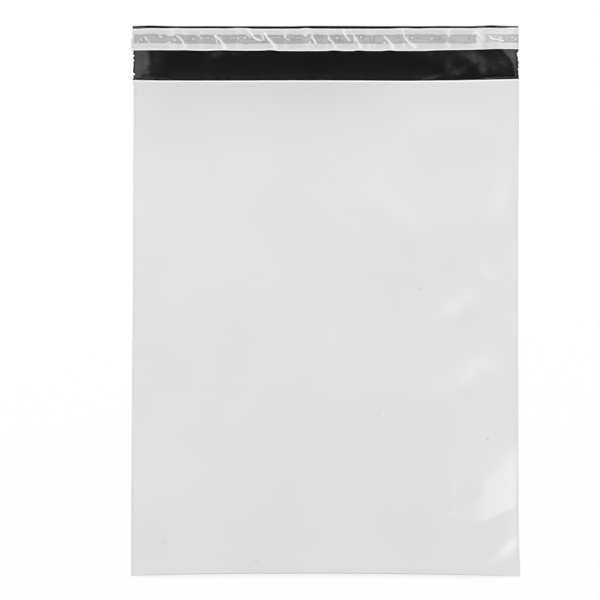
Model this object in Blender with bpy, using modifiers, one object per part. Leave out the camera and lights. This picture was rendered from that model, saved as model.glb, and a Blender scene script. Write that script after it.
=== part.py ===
# A self-seal film mailer lying flat with its flap open.
# One co-extruded web, white outside and black inside, is folded once at the bottom and
# edge-welded down both sides. A hot melt strip runs along the flap under a creased release liner.
# X runs across the bag, Y from the bottom fold up to the flap, Z up. All lengths in metres.

import math

import bmesh
import bpy
from mathutils import Vector

# film web
FILM = 0.00006              # gauge of the film
MOUTH_WIDTH = 0.3492        # across the mouth and the flap
BODY_LENGTH = 0.4481        # bottom fold to mouth, at the corners
FLAP_LENGTH = 0.0484        # mouth to the flap's cut edge, at the corners
CORNER_FLARE = 0.0011       # each bottom corner stands out this far past the mouth's half width
SIDE_WAIST = 0.0007         # each side is drawn in this far half way down
BOTTOM_BOW = 0.0020         # middle of the bottom fold rises this far above its corners
LIP_BOW = 0.0012            # middle of the front ply's cut edge lies this far below its ends
LIP_BOW_SQUARENESS = 4      # power by which that edge turns up towards the sides
LIP_SKEW = 0.0008           # the cut edge climbs this far more at its right end
LIP_SKEW_START = 0.45       # share of the way to the right side where it starts to climb
FOLD_RADIUS = 0.0008        # soft turn of the web at the bottom, in the middle
FOLD_SQUARENESS = 8         # power by which the soft turn tightens towards the welds

# side welds
WELD_WIDTH = 0.0014
WELD_INSET = 0.0008         # film left outside each weld by the cutter
WELD_GAP = 0.00014          # space between the plies that the weld bead fills
WELD_BITE = 0.00002         # depth the bead runs into each ply
WELD_REST = 0.0003          # plies stay pressed this far past the weld
WELD_SHORT = 0.0004         # the bead stops this far below the lip

# billow of the front ply
BILLOW = 0.0066             # height of the pocket in the body of the bag
BILLOW_RISE = 0.150         # length over which the pocket fills out from the bottom fold
LIP_LIFT = 0.0010           # the mouth gapes this much more than the body
LIP_LIFT_REACH = 0.060      # length below the mouth over which it opens
BILLOW_SQUARENESS = 3.0     # power of the arch across the bag
DENT_FADE = 0.0375          # dents fade out over this length above the bottom fold

# flap
FLAP_CURL = 0.0012          # lift of the flap's two free corners
FLAP_CURL_REACH = 0.024     # distance from each side over which it lifts

# adhesive and liner
SEAT = 0.0003               # clearance between pieces that lie on each other
GLUE_WIDTH = 0.0089
GLUE_THICKNESS = 0.00012
GLUE_MARGIN = 0.0063        # flap's cut edge to the glue
GLUE_END = 0.0016           # glue stops this far from each side
LINER_WIDTH = 0.0201
LINER_THICKNESS = 0.00006
LINER_MARGIN = 0.0016       # flap's cut edge to the liner
CREASE_WIDTH = 0.0026       # foot to foot of one pinched crease in the liner
CREASE_HEIGHT = 0.0007
CREASE_END = 0.4            # share of that height left where a ridge ends

# soft diagonal dents in the front ply: distance in from the right side, distance up from the
# bottom corner, half length, half width, height (negative sinks), lean from the X axis in degrees
DENTS = (
    (0.051, 0.253, 0.022, 0.009, 0.0007, 20),
    (0.028, 0.274, 0.014, 0.008, 0.0005, 48),
    (0.035, 0.188, 0.020, 0.009, 0.0007, 27),
    (0.065, 0.178, 0.022, 0.012, 0.0005, 10),
    (0.014, 0.200, 0.018, 0.008, -0.0005, 70),
    (0.026, 0.092, 0.032, 0.014, 0.0012, 42),
    (0.024, 0.050, 0.030, 0.009, -0.0009, 23),
    (0.017, 0.032, 0.018, 0.009, 0.0008, 35),
)

# pinched creases of the liner: distance from its left end at its upper edge, run to the right by
# its lower edge, share of the width where the ridge starts and stops
CREASES = (
    (0.0065, 0.0160, 0.40, 0.75),
    (0.0365, 0.0110, 0.25, 1.00),
    (0.0690, 0.0170, 0.25, 1.00),
    (0.1010, 0.0230, 0.00, 0.65),
    (0.1120, 0.0190, 0.35, 1.00),
    (0.1720, 0.0170, 0.45, 1.00),
    (0.1900, 0.0100, 0.00, 0.60),
    (0.1975, 0.0110, 0.50, 1.00),
    (0.2210, 0.0150, 0.40, 1.00),
    (0.2440, 0.0130, 0.00, 0.80),
    (0.3050, 0.0210, 0.20, 0.70),
)

# mesh density
COLUMNS = 32
COLUMN_CROWDING = 70        # degrees; more of it sets the columns closer together near the sides
FLAP_ROWS = 4
BACK_ROWS = 5
FOLD_ROWS = 6
FRONT_ROWS = 34
GLUE_COLUMNS = 48
LINER_COLUMNS = 24
LINER_ROWS = 4

# derived places
TOTAL_LENGTH = BODY_LENGTH + FLAP_LENGTH
BOTTOM_Y = -TOTAL_LENGTH / 2
FLAP_Y = TOTAL_LENGTH / 2
MOUTH_Y = FLAP_Y - FLAP_LENGTH
PLY_PITCH = FILM + WELD_GAP     # between the middles of the two plies at the welds
WELD_EDGE = WELD_INSET + WELD_WIDTH + WELD_REST

PARTS_NAME = "film_mailer_bag"


def clear_scene():
    for obj in list(bpy.data.objects):
        bpy.data.objects.remove(obj, do_unlink=True)


def new_collection(name):
    collection = bpy.data.collections.new(name)
    bpy.context.scene.collection.children.link(collection)
    return collection


def new_material(name, color, roughness):
    material = bpy.data.materials.new(name)
    material.use_nodes = True
    shader = material.node_tree.nodes["Principled BSDF"]
    shader.inputs["Base Color"].default_value = (*color, 1)
    shader.inputs["Roughness"].default_value = roughness
    shader.inputs["Metallic"].default_value = 0
    material.diffuse_color = (*color, 1)
    return material


def new_object(name, bm, collection, *materials):
    mesh = bpy.data.meshes.new(name)
    bm.to_mesh(mesh)
    bm.free()
    for material in materials:
        mesh.materials.append(material)
    obj = bpy.data.objects.new(name, mesh)
    collection.objects.link(obj)
    return obj


def thicken(obj, thickness):
    solid = obj.modifiers.new("gauge", "SOLIDIFY")
    solid.thickness = thickness
    solid.offset = 0
    return solid


def smooth(t):
    t = min(max(t, 0), 1)
    return t * t * (3 - 2 * t)


def half_width(y):
    """Half the bag's width at a height along it: flared corners, drawn-in sides."""
    up = min(max((y - BOTTOM_Y) / BODY_LENGTH, 0), 1)
    flare = CORNER_FLARE * (1 - up) ** 2
    return MOUTH_WIDTH / 2 + flare - SIDE_WAIST * math.sin(math.pi * up)


def bottom_y(share):
    return BOTTOM_Y + BOTTOM_BOW * (1 - share * share)


def lip_y(share):
    skew = LIP_SKEW * smooth((share - LIP_SKEW_START) / (1 - LIP_SKEW_START))
    return MOUTH_Y + skew - LIP_BOW * (1 - abs(share) ** LIP_BOW_SQUARENESS)


def flap_lift(x, y):
    """Height of the flap's underside: its free corners curl up off the surface."""
    side = smooth((abs(x) - MOUTH_WIDTH / 2 + FLAP_CURL_REACH) / FLAP_CURL_REACH)
    return FLAP_CURL * side * smooth((y - MOUTH_Y) / FLAP_LENGTH)


def dent_height(x, y):
    total = 0
    for inward, up, half_length, half_wide, height, lean in DENTS:
        angle = math.radians(lean)
        dx = x - (MOUTH_WIDTH / 2 - inward)
        dy = y - (BOTTOM_Y + up)
        along = (dx * math.cos(angle) + dy * math.sin(angle)) / half_length
        across = (dy * math.cos(angle) - dx * math.sin(angle)) / half_wide
        total += height * math.exp(-along * along - across * across)
    return total


def pocket_height(share, x, y):
    """Clear height of the pocket between the plies, from nothing at the welds to the full billow."""
    from_fold = max(y - bottom_y(share), 0)
    fill = math.sin(math.pi / 2 * min(from_fold / BILLOW_RISE, 1))
    gape = LIP_LIFT * smooth((y - MOUTH_Y + LIP_LIFT_REACH) / LIP_LIFT_REACH)
    arch = 1 - abs(share) ** BILLOW_SQUARENESS
    return arch * (BILLOW * fill + gape + dent_height(x, y) * smooth(from_fold / DENT_FADE))


def fold_height(share):
    """Distance between the plies at the bottom fold: pressed at the welds, soft between them."""
    return PLY_PITCH + 2 * FOLD_RADIUS * (1 - abs(share) ** FOLD_SQUARENESS)


def column_share(column):
    """A column's place from -1 at one weld to 1 at the other; the outermost lie past the welds."""
    turn = 2 * (column - 1) / (COLUMNS - 2) - 1
    turn = math.radians(COLUMN_CROWDING) * min(max(turn, -1), 1)
    return math.sin(turn) / math.sin(math.radians(COLUMN_CROWDING))


def column_x(column, y):
    pressed = WELD_EDGE if 0 < column < COLUMNS else 0
    return column_share(column) * (half_width(y) - pressed)


def web_point(column, row):
    """A point on the middle of the web, whose rows run from the flap's edge to the front lip."""
    share = column_share(column)
    if row <= FLAP_ROWS:
        y = FLAP_Y - FLAP_LENGTH * row / FLAP_ROWS
        x = column_x(column, y)
        return Vector((x, y, FILM / 2 + flap_lift(x, y)))
    row -= FLAP_ROWS
    bend = fold_height(share) / 2
    start = bottom_y(share) + bend
    if row <= BACK_ROWS:
        y = MOUTH_Y + (start - MOUTH_Y) * row / BACK_ROWS
        return Vector((column_x(column, y), y, FILM / 2))
    row -= BACK_ROWS
    if row < FOLD_ROWS:
        turn = math.pi * row / FOLD_ROWS
        y = start - bend * math.sin(turn)
        return Vector((column_x(column, y), y, FILM / 2 + bend * (1 - math.cos(turn))))
    row -= FOLD_ROWS
    y = start + (lip_y(share) - start) * row / FRONT_ROWS
    x = column_x(column, y)
    flatten = 1 - smooth((y - start) / BILLOW_RISE)
    z = FILM / 2 + PLY_PITCH + (2 * bend - PLY_PITCH) * flatten + pocket_height(share, x, y)
    return Vector((x, y, z))


def strip_grid(columns, rows):
    """A flat grid whose vertices sit at whole column and row numbers."""
    bm = bmesh.new()
    bmesh.ops.create_grid(bm, x_segments=columns, y_segments=rows, size=0.5)
    for vert in bm.verts:
        vert.co.x = round((vert.co.x + 0.5) * columns)
        vert.co.y = round((vert.co.y + 0.5) * rows)
    return bm


def build_web(collection, outside, inside):
    rows = FLAP_ROWS + BACK_ROWS + FOLD_ROWS + FRONT_ROWS
    bm = strip_grid(COLUMNS, rows)
    for vert in bm.verts:
        vert.co = web_point(round(vert.co.x), round(vert.co.y))
    web = new_object("mailer_bag", bm, collection, outside, inside)
    solid = thicken(web, FILM)
    solid.material_offset = 1
    solid.material_offset_rim = 1
    return web


def build_weld(side, collection, material):
    """The bead between the plies along one side, cut into both of them."""
    bm = strip_grid(1, FRONT_ROWS)
    low = BOTTOM_Y + FILM / 2 - WELD_BITE
    high = MOUTH_Y - WELD_SHORT
    for vert in bm.verts:
        y = low + (high - low) * vert.co.y / FRONT_ROWS
        inset = WELD_INSET + WELD_WIDTH * vert.co.x
        vert.co = Vector((side * (half_width(y) - inset), y, (FILM + PLY_PITCH) / 2))
    weld = new_object("weld_cutter", bm, collection, material)
    thicken(weld, WELD_GAP + 2 * WELD_BITE)
    return weld


def join_welds(web, cutters, outside):
    for side in (-1, 1):
        weld = build_weld(side, cutters, outside)
        weld.hide_render = True
        weld.display_type = "WIRE"
        union = web.modifiers.new("side weld", "BOOLEAN")
        union.operation = "UNION"
        union.object = weld


def build_glue(collection, material):
    bm = strip_grid(GLUE_COLUMNS, 1)
    half = MOUTH_WIDTH / 2 - GLUE_END
    low = FILM + SEAT + GLUE_THICKNESS / 2
    for vert in bm.verts:
        x = half * (2 * vert.co.x / GLUE_COLUMNS - 1)
        y = FLAP_Y - GLUE_MARGIN - GLUE_WIDTH * (1 - vert.co.y)
        vert.co = Vector((x, y, low + flap_lift(x, y)))
    glue = new_object("adhesive_strip", bm, collection, material)
    thicken(glue, GLUE_THICKNESS)
    return glue


def crease_height(x, y):
    """Height of the pinched ridges at a point of the liner, measured from its upper left corner."""
    height = 0
    for start, run, first, last in CREASES:
        down = -y / LINER_WIDTH
        off = abs(x - start - run * down) / (CREASE_WIDTH / 2)
        along = (down - first) / (last - first)
        if off < 1 and 0 <= along <= 1:
            crest = CREASE_END + (1 - CREASE_END) * math.sin(math.pi * along)
            height = max(height, CREASE_HEIGHT * crest * (1 - off))
    return height


def cut_line(bm, point, normal):
    parts = bm.verts[:] + bm.edges[:] + bm.faces[:]
    bmesh.ops.bisect_plane(bm, geom=parts, plane_co=point, plane_no=normal, dist=0.000001)


def score_creases(bm):
    """Scores the flat liner along each ridge and its two feet."""
    for start, run, first, last in CREASES:
        for off in (-CREASE_WIDTH / 2, 0, CREASE_WIDTH / 2):
            cut_line(bm, Vector((start + off, 0, 0)), Vector((LINER_WIDTH, run, 0)))


def build_liner(collection, material):
    bm = strip_grid(LINER_COLUMNS, LINER_ROWS)
    for vert in bm.verts:
        vert.co.x *= MOUTH_WIDTH / LINER_COLUMNS
        vert.co.y = (vert.co.y / LINER_ROWS - 1) * LINER_WIDTH
    score_creases(bm)
    base = FILM + GLUE_THICKNESS + 2 * SEAT + LINER_THICKNESS / 2
    for vert in bm.verts:
        ridge = crease_height(vert.co.x, vert.co.y)
        x = vert.co.x - MOUTH_WIDTH / 2
        y = vert.co.y + FLAP_Y - LINER_MARGIN
        vert.co = Vector((x, y, base + flap_lift(x, y) + ridge))
    liner = new_object("release_liner", bm, collection, material)
    thicken(liner, LINER_THICKNESS)
    return liner


def main():
    clear_scene()
    parts = new_collection(PARTS_NAME)
    cutters = new_collection("cutters")
    white = new_material("white film outside", (0.73, 0.73, 0.73), 0.42)
    black = new_material("black film inside", (0.012, 0.012, 0.012), 0.38)
    melt = new_material("clear hot melt", (0.36, 0.36, 0.36), 0.3)
    film = new_material("release liner", (0.62, 0.62, 0.62), 0.4)
    web = build_web(parts, white, black)
    join_welds(web, cutters, white)
    build_glue(parts, melt)
    build_liner(parts, film)


main()
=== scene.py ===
import math

import bmesh
import bpy
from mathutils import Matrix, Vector, noise


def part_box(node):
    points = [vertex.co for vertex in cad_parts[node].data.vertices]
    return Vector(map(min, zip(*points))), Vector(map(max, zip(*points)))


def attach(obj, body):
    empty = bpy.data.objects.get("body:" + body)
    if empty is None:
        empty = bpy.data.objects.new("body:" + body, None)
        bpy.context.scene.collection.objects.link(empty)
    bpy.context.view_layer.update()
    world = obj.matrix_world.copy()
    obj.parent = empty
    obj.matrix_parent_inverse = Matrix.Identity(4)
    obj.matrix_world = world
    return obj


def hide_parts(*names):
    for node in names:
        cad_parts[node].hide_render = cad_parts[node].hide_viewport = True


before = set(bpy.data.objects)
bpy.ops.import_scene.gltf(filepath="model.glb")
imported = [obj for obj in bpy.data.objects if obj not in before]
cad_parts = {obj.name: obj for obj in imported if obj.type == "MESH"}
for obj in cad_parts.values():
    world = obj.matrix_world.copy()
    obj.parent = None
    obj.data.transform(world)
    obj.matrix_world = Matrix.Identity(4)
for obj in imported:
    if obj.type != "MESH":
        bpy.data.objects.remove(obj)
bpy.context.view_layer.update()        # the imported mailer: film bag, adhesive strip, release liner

mm = 0.001

# the mailer lies flat, seen from straight above: X across, Y from the bottom fold to the flap
bagLow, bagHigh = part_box("mailer_bag")
linerLow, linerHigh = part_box("release_liner")
glueLow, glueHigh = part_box("adhesive_strip")
bottomY = bagLow.y
flapY = bagHigh.y
print("frame loaded,", len(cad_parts), "nodes")


def smoothStep(t):
    t = min(max(t, 0), 1)
    return t * t * (3 - 2 * t)


def turned(dx, dy, lean):        # an offset along and across an axis that leans by so many degrees
    angle = math.radians(lean)
    return dx * math.cos(angle) + dy * math.sin(angle), dy * math.cos(angle) - dx * math.sin(angle)


def wander(place, scale, seed):        # smooth seeded waver, -1 to 1
    return noise.noise(Vector((place / scale, seed * 7.31, 0.37)))


def readCurve(points, place):        # smooth curve through (place, value) pairs
    i = 0
    while i < len(points) - 2 and place > points[i + 1][0]:
        i += 1
    (start, v1), (stop, v2) = points[i], points[i + 1]
    v0 = points[max(i - 1, 0)][1]
    v3 = points[min(i + 2, len(points) - 1)][1]
    t = min(max((place - start) / (stop - start), 0), 1)
    bend = 2 * v0 - 5 * v1 + 4 * v2 - v3 + t * (3 * (v1 - v2) + v3 - v0)
    return v1 + 0.5 * t * (v2 - v0 + t * bend)


def addGrid(columns, rows):        # flat grid with its vertices at whole column and row numbers
    bm = bmesh.new()
    bmesh.ops.create_grid(bm, x_segments=columns, y_segments=rows, size=0.5)
    for vert in bm.verts:
        vert.co.x = round((vert.co.x + 0.5) * columns)
        vert.co.y = round((vert.co.y + 0.5) * rows)
    return bm


def addPiece(name, bm, materials):
    for edge in bm.edges:
        edge.smooth = not edge.is_boundary        # the cut edge of the film stays crisp
    mesh = bpy.data.meshes.new(name)
    bm.to_mesh(mesh)
    bm.free()
    for material in materials:
        mesh.materials.append(material)
    for polygon in mesh.polygons:
        polygon.use_smooth = True
    piece = bpy.data.objects.new(name, mesh)
    bpy.context.scene.collection.objects.link(piece)
    return piece


def addGauge(piece, thickness):
    solid = piece.modifiers.new("film gauge", "SOLIDIFY")
    solid.thickness = thickness
    solid.offset = 0
    return solid


# colours and nodes
def hexColor(code):        # sRGB hex to the linear values that Blender's sockets take
    parts = [int(code[i:i + 2], 16) / 255 for i in (1, 3, 5)]
    linear = [c / 12.92 if c <= 0.04045 else ((c + 0.055) / 1.055) ** 2.4 for c in parts]
    return (*linear, 1)


def addNode(tree, kind, settings=None, values=None, links=None):
    node = tree.nodes.new(kind)
    for key, value in (settings or {}).items():
        setattr(node, key, value)
    for key, value in (values or {}).items():
        node.inputs[key].default_value = value
    for key, socket in (links or {}).items():
        tree.links.new(socket, node.inputs[key])
    return node


def newMaterial(name):
    material = bpy.data.materials.new(name)
    material.use_nodes = True
    tree = material.node_tree
    return material, tree, tree.nodes["Principled BSDF"]


def setRamp(node, stops):
    ramp = node.color_ramp
    while len(ramp.elements) < len(stops):
        ramp.elements.new(0.5)
    for element, (place, color) in zip(ramp.elements, stops):
        element.position = place
        element.color = color if len(color) == 4 else (*color, 1)


# film: one co-extruded web, folded at the bottom and welded down both sides
webShape = {
    "gauge": 0.06 * mm,
    "halfWidth": 174.6 * mm,
    "flapLength": 48.6 * mm,
    "bottomBow": 2.0 * mm,        # the fold's middle stands this far above its corners
    "bottomPower": (2.8, 1.8),        # how late it turns down to its left and its right corner
    "bottomLean": 0.4 * mm,
    "lipBow": 1.6 * mm,
    "lipSkew": 1.0 * mm,        # the lip climbs this much more at its right end
    "lipSkewStart": 0.2,
    "lipWaver": (0.12 * mm, 0.11),        # height, and length as a share of the half width
    "foldRadius": 0.8 * mm,
    "foldSquareness": 8,
    "plyPitch": 0.2 * mm,
    "weldEdge": 2.5 * mm,
    "billow": 5.8 * mm,
    "billowRise": 175 * mm,
    "arch": 2.0,
    "archBottom": 2.5,        # the arch is flatter near the fold
    "archBottomReach": 120 * mm,
    "lipLift": 5.0 * mm,
    "lipLiftReach": 70 * mm,
    "gapeFade": (-0.05, 0.65, 0.95),        # where the lift starts to go, over what share, and how far
    "slackStart": 24 * mm,        # no slack or dent this near the fold
    "buckleStart": 8 * mm,
    "slackRise": 5,        # how fast slack and buckles come up beside the welds
    "buckleRise": 12,
    "columnSpacing": (2.1 * mm, 4.4 * mm, 2.0 * mm),        # left end, quiet middle, creased right part
    "quietPart": (-136 * mm, 34 * mm),
    "columnEase": (12 * mm, 20 * mm),
    "sideReach": 90 * mm,        # columns this near a side follow its outline
    "flapRows": 84,
    "backRows": 14,
    "foldRows": 8,
    "frontRows": 186,
    "backSteps": [0, 0.009, 0.018, 0.027, 0.038, 0.052],        # rows of the back ply just under the mouth
    "foldSteps": [0.0016, 0.0032],
    "lipSteps": [0.0028, 0.0016, 0.0007, 0],
    "lipCurl": 0.25 * mm,
    "lipCurlReach": 1.3 * mm,
    "weldLine": 1.5 * mm,
    "weldDepth": 0.07 * mm,
    "weldGroove": 0.4 * mm,
    "weldBead": 0.45 * mm,
    "weldReach": 4 * mm,
    "cutWaver": [(0.1 * mm, 4 * mm, 11), (0.08 * mm, 19 * mm, 17)],        # depth, length, seed
    "cutReach": 3 * mm,
    "toothDepth": 0.9 * mm,
    "toothLength": 1.3 * mm,
    "toothFade": 1.5 * mm,
    "linerCover": 22 * mm,        # the sides of the flap are torn below this
    "flapOver": 0.35 * mm,        # the cut at the flap's top lies this far past the CAD's edge
    "flapWaver": (0.3 * mm, 0.16),
}
mouthY = flapY - webShape["flapLength"]

# half width in mm at a height in mm over the middle of the bag, down each side
leftSide = [(-248, 175.6), (-180, 175.5), (-90, 175.0), (-45, 174.5), (0, 174.0), (90, 173.7),
            (180, 173.3), (190, 173.2), (195, 173.5), (199, 174.1), (207, 174.0), (249, 174.3)]
rightSide = [(-248, 176.2), (-235, 175.8), (-216, 175.1), (-180, 174.6), (-90, 174.5), (0, 174.3),
             (60, 174.3), (110, 174.6), (145, 175.0), (195, 175.1), (249, 174.6)]

# where the hot wire tore the flap's sides: height over the middle, depth and half width, in mm
teeth = {
    "left": [(225.2, 0.8, 0.8), (221.6, 1.3, 0.8), (217.8, 1.1, 0.9), (213.4, 0.5, 1.2),
             (205.0, 2.0, 1.1), (201.9, 0.4, 0.8)],
    "right": [(223.0, 1.1, 3.4), (218.0, 0.6, 0.9), (213.6, 0.4, 0.8), (209.6, 0.8, 0.9),
              (205.8, 0.6, 0.8)],
}

# distances from the side edge at which the dense columns of the weld stand
weldColumns = [0, 0.35, 0.7, 1.0, 1.3, 1.6, 1.95, 2.5, 3.3, 4.6, 6.4]

# diagonal dents of the front ply, in mm from the right side and the bottom: place of the ridge,
# half length, width of the flank above it and of the flank below it, height, lean in degrees,
# how fast the lower flank dies away (1 is a flat facet, 2 a crisp ridge that fades) and how strong
# the painted highlight along the ridge is (a paler tone standing in for the light it catches)
dents = [
    (56, 244, 20, 8, 16, 0.5, 34, 1.1, 0.28),
    (63, 236, 15, 9, 14, 0, 30, 1.1, 0.16),
    (29, 270, 8, 6, 9, 0.35, 118, 1.2, 0.16),
    (43, 181, 18, 8, 16, 0.65, 49, 1.1, 0.26),
    (66, 165, 24, 12, 22, 0.35, 8, 1.1, 0.1),
    (13, 204, 20, 5, 7, -0.5, 74, 1.3, 0),
    (59, 70, 18, 7, 9, 0.2, 86, 1.3, 0.2),
    (8, 27, 12, 6, 10, 0.3, 42, 1.2, 0.65),
    (17, 19, 13, 6, 10, 0.2, 42, 1.2, 0.35),
    (112, 327, 36, 13, 22, 0.6, -42, 1.0, 0.1),
    (19, 340, 28, 16, 18, 0.5, 72, 1.3, 0.22),
    (52, 318, 30, 9, 9, 0.3, 78, 1.2, 0),
    (62, 404, 34, 14, 30, 0.5, 10, 1.0, 0),
]

dentShape = {
    "reach": (2.2, 2.6, 1.2),        # half lengths, upper and lower flanks past which a dent ends
    "softRidge": 0.12,        # share of the lower flank that rounds the ridge
    "whitePart": 0.55,        # share of a flank that gets the painted highlight
    "mostWhite": 1.2,
}

# facets where the film has buckled flat: each is a low pyramid, whose faces are given by a point
# on the foot in mm from the right side and the bottom, the downhill direction, the slope and how
# strong the painted highlight on that face is (a paler tone standing in for the light it catches)
buckles = [
    [(25, 51, -67, 0.038, 0.7), (34.7, 46.9, -100, 0.0355, 0.3), (70, 78, 180, 0.025, 0),
     (0, 80, -4, 0.03, 0.5), (0, 122, 56, 0.0195, 0)],
]

buckleShape = {
    "softness": 0.06,        # mm by which the edges between the faces are rounded
    "whiteRise": 0.08,        # mm of height over which the painted highlight comes in
}

# slow slack in the ply that nothing pulls on
slack = {
    "broad": (85 * mm, 110 * mm, 0.35 * mm),        # size across, size up, height
    "narrow": (34 * mm, 50 * mm, 0.14 * mm),
    "narrowLean": 90 * mm,
    "leftShare": 0.4,        # the narrow waves are weaker on the left
    "rightStart": -20 * mm,
    "rightRise": 140 * mm,
}


def halfAt(side, y):
    return readCurve(rightSide if side > 0 else leftSide, y / mm) * mm


def bottomEdge(share):
    power = webShape["bottomPower"][1 if share > 0 else 0]
    lean = webShape["bottomLean"] * max(share, 0) ** 2
    return bottomY + webShape["bottomBow"] * (1 - abs(share) ** power) - lean


def lipEdge(share):
    start = webShape["lipSkewStart"]
    skew = webShape["lipSkew"] * smoothStep((share - start) / (1 - start))
    waver = webShape["lipWaver"][0] * wander(share, webShape["lipWaver"][1], 3)
    return mouthY + skew - webShape["lipBow"] * (1 - share ** 4) + waver


def fromPlace(x, y, inward, up):        # offset in mm from a place counted from the right side and the bottom
    return (x - webShape["halfWidth"]) / mm + inward, (y - bottomY) / mm - up


def dentField(x, y):        # (height, painted highlight) that the dents give a point of the ply
    total = 0
    paintedHighlight = 0
    farAlong, farUp, farDown = dentShape["reach"]
    for inward, up, halfLength, upper, lower, height, lean, fade, paleAndHighlight in dents:
        along, across = turned(*fromPlace(x, y, inward, up), lean)
        along /= halfLength
        if abs(along) > farAlong or across > farUp * upper or across < -farDown * lower:
            continue
        if across > 0:
            profile = math.exp(-(across / upper) ** 2)
        else:
            rounding = dentShape["softRidge"] * lower
            soft = math.hypot(across, rounding) - rounding
            profile = max(0, 1 - soft / lower) ** fade
        total += height * mm * profile * math.exp(-along ** 4)
        whitePart = dentShape["whitePart"] * (upper if across > 0 else lower)
        paintedHighlight += paleAndHighlight * math.exp(-(across / whitePart) ** 2 - along * along)
    return total, paintedHighlight


def buckleField(x, y):        # (height, painted highlight) that the buckled facets give a point of the ply
    height = 0
    paintedHighlight = 0
    softness = buckleShape["softness"]
    for faces in buckles:
        planes = []
        for inward, up, downhill, slope, paleAndHighlight in faces:
            run = turned(*fromPlace(x, y, inward, up), downhill)[0]
            planes.append((-slope * run, paleAndHighlight))
        lowest = min(planes)[0]
        shares = [math.exp((lowest - plane) / softness) for plane, paleAndHighlight in planes]
        lowest -= softness * math.log(sum(shares))
        blend = sum(share * plane[1] for share, plane in zip(shares, planes)) / sum(shares)
        height += 0.5 * (lowest + math.hypot(lowest, softness)) * mm
        paintedHighlight += blend * smoothStep(lowest / buckleShape["whiteRise"])
    return height, paintedHighlight


# painted highlight of the front ply: how much paler it is painted over the buckles and dents
def paintedHighlightAt(x, y):
    return min(max(buckleField(x, y)[1] + dentField(x, y)[1], 0), dentShape["mostWhite"])


def softWaves(x, y):
    across, up, broadHeight = slack["broad"]
    broad = noise.noise(Vector((x / across, y / up, 1.7)))
    across, up, narrowHeight = slack["narrow"]
    narrow = noise.noise(Vector((x / across + y / slack["narrowLean"], y / up, 5.1)))
    toRight = smoothStep((x - slack["rightStart"]) / slack["rightRise"])
    rightHand = slack["leftShare"] + (1 - slack["leftShare"]) * toRight
    return broadHeight * broad + narrowHeight * narrow * rightHand


def pocketHeight(share, x, y):
    fromFold = max(y - bottomEdge(share), 0)
    fill = math.sin(math.pi / 2 * min(fromFold / webShape["billowRise"], 1))
    toLip = min(max((y - mouthY) / webShape["lipLiftReach"] + 1, 0), 1)
    fadeStart, fadeWidth, fadeDepth = webShape["gapeFade"]
    gape = webShape["lipLift"] * toLip ** 2 * (1 - fadeDepth * smoothStep((share - fadeStart) / fadeWidth))
    flatter = webShape["archBottom"] * (1 - smoothStep(fromFold / webShape["archBottomReach"]))
    arch = 1 - abs(share) ** (webShape["arch"] + flatter)
    soft = (dentField(x, y)[0] + softWaves(x, y)) * smoothStep(fromFold / webShape["slackStart"])
    sharp = buckleField(x, y)[0] * smoothStep(fromFold / webShape["buckleStart"])
    soft *= min(1, webShape["slackRise"] * arch)
    sharp *= min(1, webShape["buckleRise"] * arch)
    return arch * (webShape["billow"] * fill + gape) + soft + sharp


def foldHeight(share):
    rounding = 1 - abs(share) ** webShape["foldSquareness"]
    return webShape["plyPitch"] + 2 * webShape["foldRadius"] * rounding


# the flap's ends arch up and come down again at the cut: crest line as (height over the middle
# of the bag, distance of the crest from the middle) in mm, the fall from it to the edge, and how
# far the melted edge turns down
flapEnds = {
    "left": {
        "crest": [(199, 166.2), (202.6, 164.2), (206, 162.2), (209, 160.3), (213, 158.9), (217, 158.5),
                  (228, 159.0), (249, 160.5)],
        "fall": 0.14,
        "rim": 0.4 * mm,
    },
    "right": {
        "crest": [(199, 172.0), (206, 171.0), (212, 169.6), (217, 167.0), (222, 162.6), (227, 158.0),
                  (234, 154.5), (249, 152.0)],
        "fall": 0.145,
        "rim": 0.8 * mm,
    },
}

flapShape = {
    "rounding": 1.6 * mm,
    "foot": 130 * mm,        # the rise towards the crest starts this far from the middle
    "rimReach": 1.2 * mm,
    "crumple": 0.09 * mm,        # small creases that the torn sides leave in the film
    "crumpleSize": (4.2 * mm, 2.6 * mm),
    "crumpleReach": 14 * mm,
    "spotReach": (26, 18),        # mm across and up past which a slack spot ends
    "mouthFade": 2.2 * mm,        # the flap comes down to the lip over this
}

# slack spots of the flap: place in mm, half width and half height, rise, lean in degrees
flapSpots = [
    (-97, 223.5, 5, 4, 0.22, 20), (114, 209, 9, 5, 0.5, 32), (133, 219, 10, 6, 0.65, -24),
    (142, 210, 5, 6, 0.55, 12), (94, 202.4, 8, 1.5, 0.2, 10), (125, 205, 10, 3, -0.2, 20),
]

# painted reflections on the flap's black side: grey gloss painted in patches and smears: place in mm,
# half width and half height, lean in degrees, strength
paintedGlossSpots = [
    (134, 221, 13, 5, -22, 0.55), (136, 218, 5, 2.4, 15, 0.35), (142.6, 210, 3.4, 4.6, 0, 0.62),
    (112, 212, 3.6, 6.5, 14, 0.27), (119, 207, 6.5, 3.2, 22, 0.38), (125.5, 210.5, 3.6, 1.8, 30, 0.16),
    (151, 211, 3.6, 3, -30, 0.22), (160, 215, 8, 9, 0, 0.26), (96, 202.1, 7.5, 1.1, 12, 0.7),
    (-98, 223.5, 6, 3, 18, 0.38), (-82, 224.5, 4, 2.2, 0, 0.22), (-152, 217, 5, 9, 0, 0.22),
    (100, 223, 22, 5, -10, 0.12), (-161, 214, 2.6, 12, 0, 0.85), (-166, 226, 4, 2, -10, 0.3),
    (-167, 213, 4, 2.4, 24, 0.3), (-163.5, 207, 2.6, 3, 40, 0.4), (-168, 213, 6, 16, 0, 0.2),
    (170, 222, 2.6, 5, 14, 0.55),
]

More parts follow.
